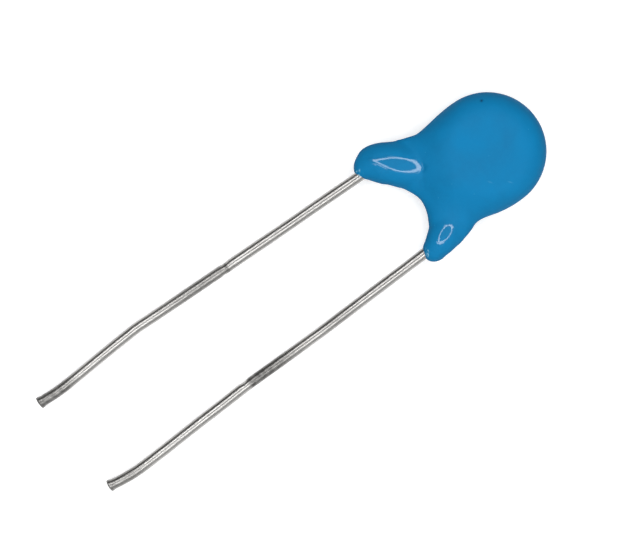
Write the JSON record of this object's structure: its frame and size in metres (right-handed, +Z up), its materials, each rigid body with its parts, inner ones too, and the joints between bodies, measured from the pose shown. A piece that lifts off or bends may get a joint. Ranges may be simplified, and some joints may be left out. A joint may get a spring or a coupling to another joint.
{
  "type": "ceramic disc capacitor",
  "caption": "Radial ceramic disc capacitor with a blue dipped coating that runs down both tinned wire leads, lying on its back.",
  "frame": {"origin": "middle of the footprint on the surface that the part lies on", "axes": "+Z up, leads toward -Y, disc toward +Y, lead pitch along X"},
  "size_m": [0.01, 0.0422, 0.0041],
  "materials": {
    "blue_epoxy": "dipped epoxy, satin to gloss",
    "fired_ceramic": "matt, fired",
    "fired_silver": "matt fired silver",
    "solder": "bright solder",
    "tinned_wire": "drawn and tinned, satin"
  },
  "bodies": {
    "root": {"coating": "blue_epoxy", "ceramic_disc": "fired_ceramic", "front_electrode": "fired_silver", "rear_electrode": "fired_silver", "front_solder": "solder", "rear_solder": "solder", "left_lead": "tinned_wire", "right_lead": "tinned_wire"}
  },
  "joints": []
}
